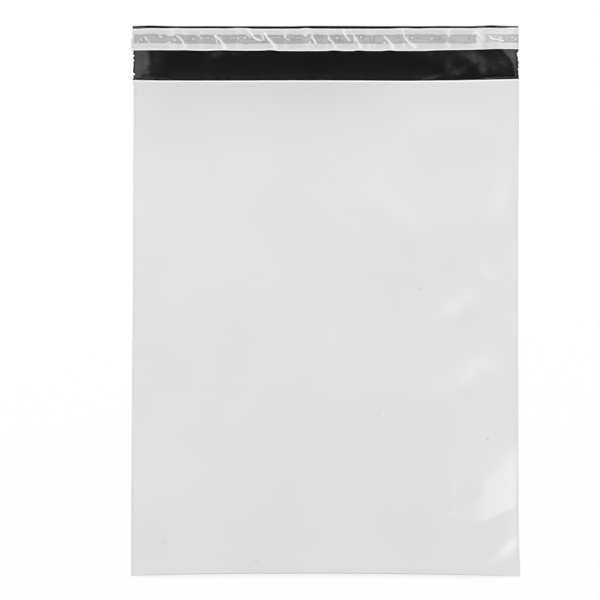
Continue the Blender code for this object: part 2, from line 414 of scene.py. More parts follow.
paintedGlossShape = {
    "veil": 0.24,        # grey veil painted all along the mouth
    "veilReach": 5,        # mm above the mouth
    "veilStart": 2.5,
    "veilLeft": (-168, 14),        # where it starts, and over how many mm
    "veilRight": (120, 30),
    "cloud": 0.5,        # how uneven the painted gloss is, broad and fine
    "cloudSize": (5.5, 3.2),        # mm across and up
    "crumple": 0.7,
    "crumpleSize": (3.6, 1.9),
}


def flapHeight(x, y):        # of the flap over the table
    side = 1 if x > 0 else -1
    end = flapEnds["right" if side > 0 else "left"]
    crest = readCurve(end["crest"], y / mm) * mm
    edge = halfAt(side, y)
    top = end["fall"] * (edge - crest)
    past = abs(x) - crest
    down = 0.5 * end["fall"] * (past + math.hypot(past, flapShape["rounding"]))
    toCrest = smoothStep((abs(x) - flapShape["foot"]) / (crest - flapShape["foot"]))
    rim = end["rim"] * (1 - math.exp(-(edge - abs(x)) / flapShape["rimReach"]))
    lift = (top + rim) * toCrest - down
    spots = 0
    for sx, sy, across, up, rise, lean in flapSpots:
        dx = x / mm - sx
        dy = y / mm - sy
        if abs(dx) > flapShape["spotReach"][0] or abs(dy) > flapShape["spotReach"][1]:
            continue
        u, v = turned(dx, dy, lean)
        spots += rise * mm * math.exp(-(u / across) ** 2 - (v / up) ** 2)
    across, up = flapShape["crumpleSize"]
    crumple = flapShape["crumple"] * noise.noise(Vector(((x + 0.5 * y) / across, y / up, 2.9)))
    crumple *= smoothStep((abs(x) - edge) / flapShape["crumpleReach"] + 1)
    aboveLip = y - lipEdge(openShare(x, mouthY))
    return max(lift + spots + crumple, 0) * smoothStep(aboveLip / flapShape["mouthFade"])


def paintedGlossField(x, y):        # how much painted gloss a point of the flap gets, 0 to 1
    x /= mm
    y /= mm
    aboveMouth = max(y - mouthY / mm, 0)
    veil = paintedGlossShape["veil"] * math.exp(-aboveMouth / paintedGlossShape["veilReach"])
    veil *= smoothStep(aboveMouth / paintedGlossShape["veilStart"])
    leftPlace, leftEase = paintedGlossShape["veilLeft"]
    rightPlace, rightEase = paintedGlossShape["veilRight"]
    veil *= smoothStep((x - leftPlace) / leftEase) * smoothStep((rightPlace - x) / rightEase)
    for sx, sy, across, up, lean, strength in paintedGlossSpots:
        u, v = turned(x - sx, y - sy, lean)
        veil += strength * math.exp(-(u / across) ** 2 - (v / up) ** 2)
    across, up = paintedGlossShape["cloudSize"]
    cloud = noise.noise(Vector((x / across, y / up, 9.3)))
    across, up = paintedGlossShape["crumpleSize"]
    crumple = noise.noise(Vector(((x + 0.6 * y) / across, (y - 0.3 * x) / up, 4.6)))
    return max(veil * (1 + paintedGlossShape["cloud"] * cloud + paintedGlossShape["crumple"] * crumple), 0)


def webColumns():        # distance from the middle for each column, dense by the welds
    half = webShape["halfWidth"]
    dense = [d * mm for d in weldColumns]
    spread = half - dense[-1]
    wide, quiet, fine = webShape["columnSpacing"]
    quietStart, quietEnd = webShape["quietPart"]
    startEase, endEase = webShape["columnEase"]
    inner = [-spread]
    while inner[-1] < spread:
        spacing = wide + (quiet - wide) * smoothStep((inner[-1] - quietStart) / startEase)
        spacing += (fine - quiet) * smoothStep((inner[-1] - quietEnd) / endEase)
        inner.append(inner[-1] + spacing)
    stretch = 2 * spread / (inner[-1] - inner[0])
    inner = [-spread + (x + spread) * stretch for x in inner[1:-1]]
    left = [d - half for d in dense]
    return left + inner + [-x for x in reversed(left)]


def columnPlace(base, y):        # a column keeps its distance to the nearer side all the way up
    half = webShape["halfWidth"]
    side = 1 if base > 0 else -1
    inward = half - abs(base)
    return base + side * (halfAt(side, y) - half) * max(0, 1 - inward / webShape["sideReach"])


def openShare(x, y):
    side = 1 if x > 0 else -1
    return min(max(x / (halfAt(side, y) - webShape["weldEdge"]), -1), 1)


def sideWaver(base, y, onFlap):        # the hot wire leaves the cut a little uneven, ragged on the flap
    side = 1 if base > 0 else -1
    fade = max(0, 1 - (webShape["halfWidth"] - abs(base)) / webShape["cutReach"])
    if fade == 0:
        return 0
    cut = sum(depth * wander(y, length, seed + side) for depth, length, seed in webShape["cutWaver"])
    if onFlap and y < flapY - webShape["linerCover"]:
        tooth = webShape["toothDepth"] * abs(wander(y, webShape["toothLength"], 29 + side))
        for place, depth, half in teeth["right" if side > 0 else "left"]:
            tooth += depth * mm * math.exp(-((y / mm - place) / half) ** 2)
        cut -= tooth * smoothStep((y - mouthY) / webShape["toothFade"])
    return side * cut * fade


def weldRelief(x, y):        # a groove beside a small bead, where the side seal was made
    inward = halfAt(1 if x > 0 else -1, y) - abs(x)
    if inward > webShape["weldReach"]:
        return 0
    groove = math.exp(-((inward - webShape["weldLine"]) / webShape["weldGroove"]) ** 2)
    bead = math.exp(-(inward / webShape["weldBead"]) ** 2)
    return webShape["weldDepth"] * (bead - groove)


def frontPoint(base, t):
    share = openShare(base, mouthY)
    bend = foldHeight(share) / 2
    start = bottomEdge(share) + bend
    lip = lipEdge(share)
    y = start + (lip - start) * t
    x = columnPlace(base, y)
    share = openShare(x, y)
    flatten = 1 - smoothStep((y - start) / webShape["billowRise"])
    z = webShape["gauge"] / 2 + webShape["plyPitch"]
    z += (2 * bend - webShape["plyPitch"]) * flatten + pocketHeight(share, x, y)
    toLip = (lip - y) / webShape["lipCurlReach"]
    if toLip < 1:
        z -= webShape["lipCurl"] * (1 - toLip) ** 2 * (1 - abs(share) ** 6)
    z += weldRelief(x, y) * smoothStep((y - start) / webShape["weldReach"])
    return Vector((x + sideWaver(base, y, False), y, z))


def webRows():        # (which ply, share of its length) for each row, from the flap's edge to the lip
    back = [i / webShape["backRows"] for i in range(1, webShape["backRows"])]
    front = [i / webShape["frontRows"] for i in range(1, webShape["frontRows"])]
    lip = [1 - step for step in webShape["lipSteps"]]
    plies = (
        ("flap", [i / webShape["flapRows"] for i in range(webShape["flapRows"])]),
        ("back", webShape["backSteps"] + back),
        ("fold", [i / webShape["foldRows"] for i in range(webShape["foldRows"] + 1)]),
        ("front", webShape["foldSteps"] + front + lip),
    )
    return [(ply, t) for ply, steps in plies for t in steps]


def webPoint(base, ply, t):
    half = webShape["gauge"] / 2
    share = openShare(base, mouthY)
    if ply == "flap":
        waver = webShape["flapWaver"][0] * wander(share, webShape["flapWaver"][1], 5)
        top = flapY + webShape["flapOver"] + waver
        y = top + (mouthY - top) * t
        x = columnPlace(base, y)
        return Vector((x + sideWaver(base, y, True), y, half + flapHeight(x, y)))
    bend = foldHeight(share) / 2
    start = bottomEdge(share) + bend
    if ply == "back":
        y = mouthY + (start - mouthY) * t
        x = columnPlace(base, y)
        return Vector((x + sideWaver(base, y, False), y, half))
    if ply == "fold":
        y = start - bend * math.sin(math.pi * t)
        z = half + bend * (1 - math.cos(math.pi * t))
        return Vector((columnPlace(base, y) + sideWaver(base, y, False), y, z))
    return frontPoint(base, t)


def buildFilmBag(outside, inside):
    columns = webColumns()
    rows = webRows()
    bm = addGrid(len(columns) - 1, len(rows) - 1)
    weldLayer = bm.verts.layers.float.new("fromSide")
    lipLayer = bm.verts.layers.float.new("fromLip")
    paintedHighlightLayer = bm.verts.layers.float.new("paintedHighlight")
    paintedGlossLayer = bm.verts.layers.float.new("paintedGloss")
    length = mouthY - bottomY
    for vert in bm.verts:
        base = columns[round(vert.co.x)]
        ply, t = rows[round(vert.co.y)]
        vert.co = webPoint(base, ply, t)
        vert[weldLayer] = (webShape["halfWidth"] - abs(base)) / mm
        vert[lipLayer] = (1 - t) * length / mm if ply == "front" else 50        # mm, far on the other plies
        # painted highlight on the front ply
        vert[paintedHighlightLayer] = paintedHighlightAt(vert.co.x, vert.co.y) if ply == "front" else 0
        # painted reflection on the flap's black side
        vert[paintedGlossLayer] = paintedGlossField(vert.co.x, vert.co.y) if ply == "flap" else 0
    bag = addPiece("filmBag", bm, [outside, inside])
    solid = addGauge(bag, webShape["gauge"])
    solid.material_offset = 1        # black layer inside
    print("film bag:", len(bag.data.polygons), "faces")
    return bag


# hot melt band on the flap
glueShape = {
    "thickness": 0.12 * mm,
    "columns": 340,
    "rows": 8,
    "edgeWaver": 0.3 * mm,
    "waverLength": 6 * mm,
    "crown": 0.06 * mm,
}


def buildGlue(material):
    bm = addGrid(glueShape["columns"], glueShape["rows"])
    middle = (glueLow.y + glueHigh.y) / 2
    halfBand = (glueHigh.y - glueLow.y) / 2
    for vert in bm.verts:
        across = 2 * vert.co.y / glueShape["rows"] - 1
        x = glueLow.x + (glueHigh.x - glueLow.x) * vert.co.x / glueShape["columns"]
        side = 1 if across > 0 else -1
        waver = glueShape["edgeWaver"] * wander(x, glueShape["waverLength"], 41 + side) * abs(across)
        y = middle + across * halfBand - side * abs(waver)
        z = glueLow.z + glueShape["thickness"] / 2 + flapHeight(x, y)
        vert.co = Vector((x, y, z + glueShape["crown"] * (1 - across * across)))
    glue = addPiece("hotMeltStrip", bm, [material])
    addGauge(glue, glueShape["thickness"])
    print("hot melt:", len(glue.data.polygons), "faces")
    return glue


# release liner: thin milky film with pinched diagonal creases, wetted out in patches
linerShape = {
    "gauge": 0.06 * mm,
    "columns": 860,
    "rows": 40,
    "bandTop": 5.6,        # mm below the liner's upper edge, where the hot melt wets the film
    "bandBottom": 14.2,
    "bandLeft": 1.8,
    "bandFade": 0.45,
    "topWaver": [(0.5, 2.9, 61), (0.5, 11, 62)],        # of the wetted band: height, length in mm, seed
    "bottomWaver": [(0.5, 3.3, 67), (0.5, 13, 68)],
    "slitEdge": 1.05,        # mm from the slit edges that are painted pale: a painted highlight along each edge
    "slantDepth": 0.9,        # mm by which the left end's lower part stands out
    "slantStart": 8,
    "slantEase": 3,
    "slantReach": 4,
    "ridge": 0.4,        # mm of height of a pinched crease
    # paleness of a crease's ridge: partly whitened film, partly a painted highlight
    "ridgeTone": 0.58,
    "creaseReach": 6,        # mm along past which a crease ends
    "flareBelow": 16,        # one that ends below this flares, others taper
    "flare": (0.9, 1.3),        # width at its top, and its growth
    "taper": (1.6, 0.7),        # and its loss
    "pocketReach": 9,
    "bubbleDrift": 0.5,        # mm up or down off their row
    "bubbleSize": (0.8, 0.4),        # middle size and spread
    "waveHeight": 0.22,
    "waveTone": 0.5,
    "waveHeld": 0.75,        # share of a wave that the hot melt holds down
    "airHeight": 0.05,
    "edgePower": 4,        # how fast an edge's wander dies away
}

# how far the slit edges wander, in mm upwards, at places in mm along the liner
linerTop = [(0, -0.8), (7, -0.8), (16, -0.5), (30, -0.45), (40, -0.1), (49, -0.35), (75, -0.3),
            (85, -0.4), (94, 0), (103, -0.1), (108, -0.6), (136, -0.65), (152, -0.55), (157, -0.1),
            (164, -0.55), (233, -0.65), (241, -0.2), (249, -0.2), (257, -0.5), (268, -0.2), (285, -0.1),
            (297, -0.1), (305, -0.2), (320, -0.35), (333, -0.6), (342, 0), (350, 0.4)]
linerBottom = [(0, 0), (16, -0.1), (30, 0.05), (48, 0.2), (61, -0.2), (72, -0.1), (79, 0.1), (97, -0.15),
               (117, -0.1), (125, 0.3), (132, -0.4), (152, -0.55), (175, -0.45), (182, 0), (190, -0.5),
               (199, -0.5), (204, 0), (213, -0.4), (226, -0.45), (232, 0.1), (238, -0.4), (265, -0.4),
               (275, 0.15), (292, 0.4), (306, 0.6), (314, 0.75), (333, 0.9), (350, 1.0)]

# pinched creases: points in mm (along from the left end, down from the upper edge), half width
# in mm, paleness (partly whitened film, partly a painted highlight on the ridge)
creases = [
    ([(12.0, 9.2), (14.3, 12.0), (16.5, 14.7)], 0.7, 0.35),
    ([(40.5, 7.3), (43.6, 10.1), (45.9, 12.4), (47.3, 19.3)], 1.0, 0.60),
    ([(74.4, 7.4), (78.5, 9.7), (81.2, 13.3), (83.9, 19.6)], 1.1, 0.85),
    ([(103.8, 0.7), (106.5, 4.3), (109.2, 7.9), (112.4, 10.4), (116.0, 11.3)], 1.0, 0.90),
    ([(120.1, 5.2), (121.9, 8.8), (125.5, 12.4), (128.2, 16.0), (129.1, 19.6)], 1.2, 0.90),
    ([(177.5, 9.7), (180.7, 12.4), (182.5, 15.1), (183.8, 19.6)], 1.0, 0.65),
    ([(191.2, 0.3), (191.5, 4.3), (193.3, 7.9), (196.5, 11.5)], 0.8, 0.95),
    ([(201.9, 9.2), (204.2, 13.3), (206.0, 16.9), (206.4, 20.0)], 1.0, 0.85),
    ([(227.7, 7.9), (230.4, 10.6), (233.1, 13.3), (235.2, 16.9), (235.8, 20.2)], 1.0, 1.00),
    ([(245.4, 0.1), (245.4, 5.2), (246.7, 9.7), (250.3, 13.3), (253.9, 16.0), (255.7, 17.8)], 0.8, 0.75),
    ([(162.6, 6.8), (163.5, 10.1), (166.4, 14.6)], 0.7, 0.65),
    ([(310.0, 4.7), (313.2, 7.9), (315.9, 11.1)], 0.5, 0.20),
    ([(323.1, 9.1), (325.4, 10.9), (329.9, 11.5), (335.3, 13.0)], 0.6, 0.75),
]

# air under the liner: place in mm along and down, half size along and down, lean in degrees, strength
airPockets = [
    (7.9, 10.6, 2.2, 1.1, 20, 0.90), (5.4, 12.6, 1.4, 0.8, 0, 0.80), (25.8, 8.1, 2.6, 1.4, 22, 1.00),
    (32.8, 6.5, 2.0, 1.4, 0, 0.90), (36.9, 4.7, 2.9, 3.2, 60, 1.00), (38.5, 10.9, 1.7, 1.2, 0, 1.00),
    (32.8, 13.1, 2.7, 1.2, -20, 0.90), (49.1, 8.4, 3.2, 0.9, 0, 0.55), (55.4, 10.0, 2.1, 1.4, 20, 0.75),
    (59.5, 6.4, 2.7, 1.3, 35, 1.00), (62.2, 9.2, 1.2, 1.1, 0, 1.00), (65.2, 8.4, 0.8, 0.7, 0, 0.60),
    (68.5, 8.6, 1.2, 1.1, 0, 0.80), (73.0, 9.7, 1.0, 1.1, 0, 0.70), (76.2, 10.1, 1.4, 5.0, -8, 1.00),
    (83.4, 9.6, 0.8, 1.3, 0, 0.60), (86.9, 9.2, 0.8, 1.1, 0, 0.50), (95.9, 9.2, 1.5, 1.8, 0, 0.75),
    (101.8, 8.8, 2.3, 1.3, 35, 0.90), (105.1, 7.2, 4.1, 1.1, 42, 0.90), (117.8, 7.9, 1.6, 4.7, -22, 1.00),
    (124.6, 8.4, 1.1, 0.9, 0, 0.55), (128.8, 8.4, 1.1, 1.3, 0, 0.70), (132.4, 8.6, 1.2, 1.4, 0, 0.70),
    (138.2, 6.5, 1.8, 3.2, 0, 0.95), (140.9, 10.1, 2.2, 1.1, 10, 0.80), (145.4, 9.1, 1.1, 0.8, 0, 0.60),
    (149.3, 8.8, 1.4, 1.0, 0, 0.75), (156.2, 6.3, 2.0, 2.2, -30, 1.00), (160.6, 12.4, 1.4, 1.2, 0, 0.90),
    (162.2, 8.6, 1.1, 1.6, -20, 1.00), (165.3, 12.0, 1.7, 3.1, -25, 0.90), (170.2, 9.9, 0.9, 1.1, 0, 0.70),
    (177.9, 9.2, 1.3, 4.1, -12, 0.90), (185.2, 9.0, 2.5, 1.4, 8, 0.75), (181.6, 10.1, 1.1, 1.6, 0, 0.50),
    (200.8, 9.2, 1.5, 5.4, -6, 1.00), (206.9, 8.1, 1.8, 1.3, 0, 0.75), (210.8, 10.0, 1.1, 2.3, -30, 0.60),
    (216.8, 9.2, 2.3, 5.4, 0, 0.45), (228.1, 13.0, 2.2, 1.3, -20, 0.80), (241.7, 10.4, 1.1, 2.2, -30, 0.70),
    (248.9, 9.0, 1.1, 1.2, 0, 1.00), (253.3, 8.8, 2.0, 1.4, 0, 0.75), (270.5, 9.9, 1.3, 1.5, 0, 0.70),
    (278.6, 9.0, 1.2, 1.4, 0, 0.45), (286.1, 6.3, 1.5, 2.9, -12, 0.80), (284.2, 13.1, 2.3, 0.9, 20, 0.70),
    (303.5, 12.0, 2.2, 0.8, 0, 0.75), (305.0, 9.5, 1.4, 0.7, 0, 0.40),
    (315.0, 9.7, 4.9, 5.9, 0, 1.00), (325.8, 11.1, 2.5, 2.0, 0, 0.90), (332.1, 9.2, 2.7, 1.5, 0, 0.70),
    (333.1, 11.8, 3.2, 1.1, 10, 0.90), (338.0, 9.2, 1.4, 1.4, 0, 0.60), (343.3, 8.6, 1.6, 1.2, 20, 0.85),
    (346.7, 9.7, 1.4, 1.4, 0, 0.85), (343.5, 12.0, 1.2, 0.7, 0, 0.50), (328.5, 13.9, 4.5, 1.1, -4, 0.90),
]

# rows of small bubbles: first and last place in mm along, spacing, place in mm down, half size,
# strength
bubbleRows = [
    (44, 52, 1.9, 11.0, 0.7, 0.8), (64, 72, 2.1, 9.7, 0.8, 1.0), (80, 94, 2.3, 11.2, 0.7, 0.8),
    (123, 136, 2.1, 11.4, 0.75, 0.9), (142, 153, 2.2, 10.8, 0.75, 0.9), (167, 175, 2.0, 8.0, 0.8, 0.9),
    (183, 192, 1.9, 11.4, 0.7, 0.8), (258, 276, 2.0, 8.9, 0.85, 1.0), (274, 290, 2.2, 10.9, 0.75, 0.9),
    (337, 349, 2.1, 10.9, 0.8, 1.0),
]

# soft upright waves across the liner's margins: place in mm along, half width, paleness
linerWaves = [(36, 2.9, 0.55), (47, 2.7, 0.35), (63, 2.2, 0.35), (95, 1.8, 0.35), (98, 2.3, 0.25),
              (138.6, 2.2, 0.35), (159, 3.6, 0.45), (176, 2.2, 0.3), (213.7, 2.7, 0.4), (218.6, 2, 0.25),
              (245.3, 1.6, 0.5), (286, 2.3, 0.6), (313, 5, 0.7), (324, 7, 0.5), (333, 6, 0.5),
              (341, 7, 0.55)]

# how milky the wetted film is at places in mm along the liner
linerMilk = [(0, 0), (110, 0), (220, 0.01), (262, 0.08), (312, 0.09), (321, 0.32), (331, 0.27),
             (338, 0.12), (350, 0.09)]


def nearestPoint(points, along, down):        # (distance to a broken line, share of its height reached)
    nearest = math.inf
    reached = 0
    top = points[0][1]
    bottom = points[-1][1]
    for (x0, y0), (x1, y1) in zip(points, points[1:]):
        run = (x1 - x0) ** 2 + (y1 - y0) ** 2
        t = min(max(((along - x0) * (x1 - x0) + (down - y0) * (y1 - y0)) / run, 0), 1)
        off = math.hypot(along - x0 - t * (x1 - x0), down - y0 - t * (y1 - y0))
        if off < nearest:
            nearest = off
            reached = (y0 + t * (y1 - y0) - top) / (bottom - top)
    return nearest, reached


def creaseField(along, down):        # (height in mm, paleness) that the creases give a point of the liner
    height = 0
    pale = 0
    reach = linerShape["creaseReach"]
    flareStart, growth = linerShape["flare"]
    taperStart, shrink = linerShape["taper"]
    for points, half, paleness in creases:
        if along < points[0][0] - reach or along > points[-1][0] + reach:
            continue
        nearest, reached = nearestPoint(points, along, down)
        flares = points[-1][1] > linerShape["flareBelow"]
        wide = half * (flareStart + growth * reached ** 2 if flares else taperStart - shrink * reached)
        ridge = math.exp(-(nearest / wide) ** 2)
        height = max(height, linerShape["ridge"] * ridge)
        pale = max(pale, linerShape["ridgeTone"] * paleness * ridge)
    return height, pale


def pocketField(along, down):        # how far the air pockets let a point of the liner touch the hot melt
    stuck = 1
    for x, y, half, halfDown, lean, strength in airPockets:
        if abs(along - x) > linerShape["pocketReach"]:
            continue
        u, v = turned(along - x, down - y, lean)
        stuck *= 1 - strength * math.exp(-((u / half) ** 2 + (v / halfDown) ** 2) ** 1.5)
    middleSize, sizeSpread = linerShape["bubbleSize"]
    for first, last, step, y, half, strength in bubbleRows:
        if along < first - 1 or along > last + 1:
            continue
        count = round((along - first) / step)
        drift = linerShape["bubbleDrift"] * wander(count, 0.9, y)
        off = math.hypot(along - first - count * step, down - y - drift) / half
        size = middleSize + sizeSpread * wander(count, 0.7, 3 + y)
        stuck *= 1 - strength * size * math.exp(-off ** 2)
    return stuck


def linerWave(along):
    return max(paleness * math.exp(-((along - x) / half) ** 2) for x, half, paleness in linerWaves)


def bandWaver(wavers, along):
    return sum(height * wander(along, length, seed) for height, length, seed in wavers)


def buildLiner(material):
    bm = addGrid(linerShape["columns"], linerShape["rows"])
    stuckLayer = bm.verts.layers.float.new("stuckDown")
    paleLayer = bm.verts.layers.float.new("paleness")
    width = (linerHigh.y - linerLow.y) / mm
    length = (linerHigh.x - linerLow.x) / mm
    base = linerLow.z + linerShape["gauge"] / 2
    fade = linerShape["bandFade"]
    power = linerShape["edgePower"]
    for vert in bm.verts:
        along = length * vert.co.x / linerShape["columns"]
        share = vert.co.y / linerShape["rows"]
        down = width * (1 - share)
        edgeShift = readCurve(linerTop, along) * share ** power
        edgeShift += readCurve(linerBottom, along) * (1 - share) ** power
        slant = linerShape["slantDepth"] * max(0, 1 - along / linerShape["slantReach"])
        slant *= smoothStep((down - linerShape["slantStart"]) / linerShape["slantEase"])
        x = linerLow.x + (along - slant) * mm
        y = linerHigh.y - (down - edgeShift) * mm
        # where the film touches the hot melt: 1 in the band, 0 outside it, over air and on creases
        topLine = linerShape["bandTop"] + bandWaver(linerShape["topWaver"], along)
        bottomLine = linerShape["bandBottom"] + bandWaver(linerShape["bottomWaver"], along)
        inside = max(min(down - topLine, bottomLine - down, along - linerShape["bandLeft"]), 0)
        band = 1 - math.exp(-inside / fade)
        height, crease = creaseField(along, down)
        freed = 1 - math.exp(-((1 - min(height / linerShape["ridge"], 1)) / fade) ** 2)
        stuck = band * pocketField(along, down) * freed
        vert[stuckLayer] = stuck
        # how pale it is: a painted highlight along the slit edges, whitened film and painted highlight on the
        # creases, and paler over the waves
        wave = linerWave(along) * (1 - linerShape["waveHeld"] * stuck)
        slit = math.exp(-(min(down, width - down) / linerShape["slitEdge"]) ** 2)
        pale = max(crease, slit, linerShape["waveTone"] * wave)
        vert[paleLayer] = pale + (1 - pale) * stuck * readCurve(linerMilk, along)
        lift = height + linerShape["waveHeight"] * wave + linerShape["airHeight"] * (1 - stuck) * band
        vert.co = Vector((x, y, base + flapHeight(x, y) + lift * mm))
    liner = addPiece("releaseLiner", bm, [material])
    addGauge(liner, linerShape["gauge"])
    print("release liner:", len(liner.data.polygons), "faces")
    return liner


# materials
whiteFilm = {
    "colors": ("#E3E3E3", "#E6E6E6"),
    "cloudSize": 111.1 * mm,        # drifts of pigment
    # painted highlight on the buckles and dents
    "paintedHighlightColor": "#F4F4F4",
    # painted highlight along the lip's cut edge
    "lipHighlightColor": "#FFFFFF",
    "lipHighlightWidth": (0.5, 1.4),        # mm from the lip: all white, and no longer white
    "mouthShadeTone": 0.96,        # painted shade: darker towards the mouth
    "mouthShadeReach": (-10, 50),
    "sealReach": 4,        # mm from the side over which sealTones are spread
    "sealTones": [(0.0, 0.93), (0.2, 0.97), (0.38, 1.0), (0.52, 0.95), (0.7, 1.0)],
    # dark gel specks, and the painted shade of the two wide marks
    "darkSpeckAndShade": "#202020",
    "paleSpeck": "#FFFFFF",
    "roughness": 0.2,
    "ior": 1.51,
}

# gel specks in the white film, and two wide faint painted shades on its left, by the mouth and near
# the fold: place in mm, radius in mm, darker (-1) to paler (1)
specksAndPaintedShade = [
    (86.1, 11.3, 1.9, -0.21), (146.7, -124.8, 1.9, -0.21), (-62.4, -234.2, 2.4, -0.15),
    (-145.4, -218, 3.4, -0.06), (51.3, -102.7, 1.8, 0.4), (49.0, -101.5, 1.6, -0.12),
    (50.2, -84, 1.4, -0.06), (-160.8, 30.7, 1.6, 0.2), (-155, 188, 75, -0.055), (-165, -215, 45, -0.045),
]


def addClouds(tree, size, detail, colors):        # two close tones in clouds of a real size
    place = addNode(tree, "ShaderNodeTexCoord").outputs["Object"]
    cloud = addNode(tree, "ShaderNodeTexNoise", {}, {"Scale": 1 / size, "Detail": detail}, {"Vector": place})
    tint = addNode(tree, "ShaderNodeValToRGB", {}, {}, {"Fac": cloud.outputs["Fac"]})
    setRamp(tint, [(0.3, hexColor(colors[0])), (0.7, hexColor(colors[1]))])
    return tint.outputs["Color"]


def blownFilmWhite():        # titanium-white polyethylene layer: soft sheen, with painted highlights along the lip's edge and on the buckles, and painted shade towards the mouth and at two wide marks
    material, tree, shader = newMaterial("blown polyethylene film, white outer layer")
    tint = addClouds(tree, whiteFilm["cloudSize"], 3, whiteFilm["colors"])
    paintedHighlight, fromSide, fromLip = (
        addNode(tree, "ShaderNodeAttribute", {"attribute_name": name}).outputs["Fac"]
        for name in ("paintedHighlight", "fromSide", "fromLip"))
    # painted highlight: a paler tone on the buckled facets and the dents' ridges, where they would catch the
    # light
    highlighted = addNode(tree, "ShaderNodeMix", {"data_type": "RGBA"},
                        {"B": hexColor(whiteFilm["paintedHighlightColor"])}, {"Factor": paintedHighlight, "A": tint})
    # side seals show as a thin dull line beside the cut
    spread = addNode(tree, "ShaderNodeMath", {"operation": "MULTIPLY"}, {1: 1 / whiteFilm["sealReach"]},
                     {0: fromSide})
    seal = addNode(tree, "ShaderNodeValToRGB", {}, {}, {"Fac": spread.outputs[0]})
    setRamp(seal, [(spot, (tone, tone, tone)) for spot, tone in whiteFilm["sealTones"]])
    # painted shade: the white is darkened over the last few cm below the mouth
    mouthShadeStart, mouthShadeEnd = whiteFilm["mouthShadeReach"]
    mouthShade = addNode(tree, "ShaderNodeMapRange", {"interpolation_type": "SMOOTHSTEP"}, {
        "From Min": mouthShadeStart, "From Max": mouthShadeEnd, "To Min": whiteFilm["mouthShadeTone"], "To Max": 1.0,
    }, {"Value": fromLip})
    dimmed = highlighted.outputs["Result"]
    for shade in (seal.outputs["Color"], mouthShade.outputs["Result"]):
        dimmed = addNode(tree, "ShaderNodeMix", {"data_type": "RGBA", "blend_type": "MULTIPLY"},
                         {"Factor": 1.0}, {"A": dimmed, "B": shade}).outputs["Result"]
    # painted highlight: the lip's cut edge is painted white, where it would catch the light
    lipHighlightStart, lipHighlightEnd = whiteFilm["lipHighlightWidth"]
    cut = addNode(tree, "ShaderNodeMapRange", {"interpolation_type": "SMOOTHSTEP"}, {
        "From Min": lipHighlightStart, "From Max": lipHighlightEnd, "To Min": 1.0, "To Max": 0.0,
    }, {"Value": fromLip})
    marked = addNode(tree, "ShaderNodeMix", {"data_type": "RGBA"}, {"B": hexColor(whiteFilm["lipHighlightColor"])},
                     {"Factor": cut.outputs["Result"], "A": dimmed}).outputs["Result"]
    place = addNode(tree, "ShaderNodeTexCoord").outputs["Object"]
    plan = addNode(tree, "ShaderNodeVectorMath", {"operation": "MULTIPLY"}, {1: (1, 1, 0)}, {0: place})
    # gel specks, and the two wide marks of painted shade
    for x, y, radius, tone in specksAndPaintedShade:
        away = addNode(tree, "ShaderNodeVectorMath", {"operation": "DISTANCE"}, {1: (x * mm, y * mm, 0)},
                       {0: plan.outputs["Vector"]})
        spot = addNode(tree, "ShaderNodeMapRange", {"interpolation_type": "SMOOTHSTEP"}, {
            "From Min": 0, "From Max": radius * mm, "To Min": abs(tone), "To Max": 0,
        }, {"Value": away.outputs["Value"]})
        color = hexColor(whiteFilm["darkSpeckAndShade" if tone < 0 else "paleSpeck"])
        marked = addNode(tree, "ShaderNodeMix", {"data_type": "RGBA"}, {"B": color},
                         {"Factor": spot.outputs["Result"], "A": marked}).outputs["Result"]
    tree.links.new(marked, shader.inputs["Base Color"])
    shader.inputs["Roughness"].default_value = whiteFilm["roughness"]
    shader.inputs["IOR"].default_value = whiteFilm["ior"]
    return material


blackFilm = {
    "colors": ("#101010", "#151515"),
    "cloudSize": 25 * mm,
    "paintedGlossColor": "#474747",        # painted reflection: grey gloss on the black film
    "roughness": 0.16,
    "ior": 1.51,
}


def blownFilmBlack():        # carbon-black inner layer: deep black with a smooth gloss, and grey painted reflections on the flap
    material, tree, shader = newMaterial("blown polyethylene film, carbon black inner layer")
    tint = addClouds(tree, blackFilm["cloudSize"], 3, blackFilm["colors"])
    # grey painted reflections on the flap, where the attribute says
    paintedGloss = addNode(tree, "ShaderNodeAttribute", {"attribute_name": "paintedGloss"}).outputs["Fac"]
    glossed = addNode(tree, "ShaderNodeMix", {"data_type": "RGBA"}, {"B": hexColor(blackFilm["paintedGlossColor"])},
                     {"Factor": paintedGloss, "A": tint})
    tree.links.new(glossed.outputs["Result"], shader.inputs["Base Color"])
    shader.inputs["Roughness"].default_value = blackFilm["roughness"]
    shader.inputs["IOR"].default_value = blackFilm["ior"]
    return material


glueFinish = {
    "colors": ("#35342F", "#403F39"),
    "streakSize": 3.333 * mm,        # flow marks of the nozzle
    "roughness": 0.22,
}


def hotMelt():        # clear rubber-based hot melt: dull amber grey over the black film
    material, tree, shader = newMaterial("pressure-sensitive hot melt")
    tint = addClouds(tree, glueFinish["streakSize"], 2, glueFinish["colors"])
    tree.links.new(tint, shader.inputs["Base Color"])
    shader.inputs["Roughness"].default_value = glueFinish["roughness"]
    return material


linerFinish = {
    # colour by how far the film touches the hot melt, from not at all to all over
    "wetting": [(0.0, "#D3D3D3"), (0.3, "#CECECE"), (0.5, "#BEBEBE"), (0.72, "#919191"), (0.9, "#A8A8A8"),
                (1.0, "#B6B6B6")],
    # paler tone for creases, waves and slit edges, partly a painted highlight
    "paleAndHighlight": "#FFFFFF",
    "roughness": 0.38,
}


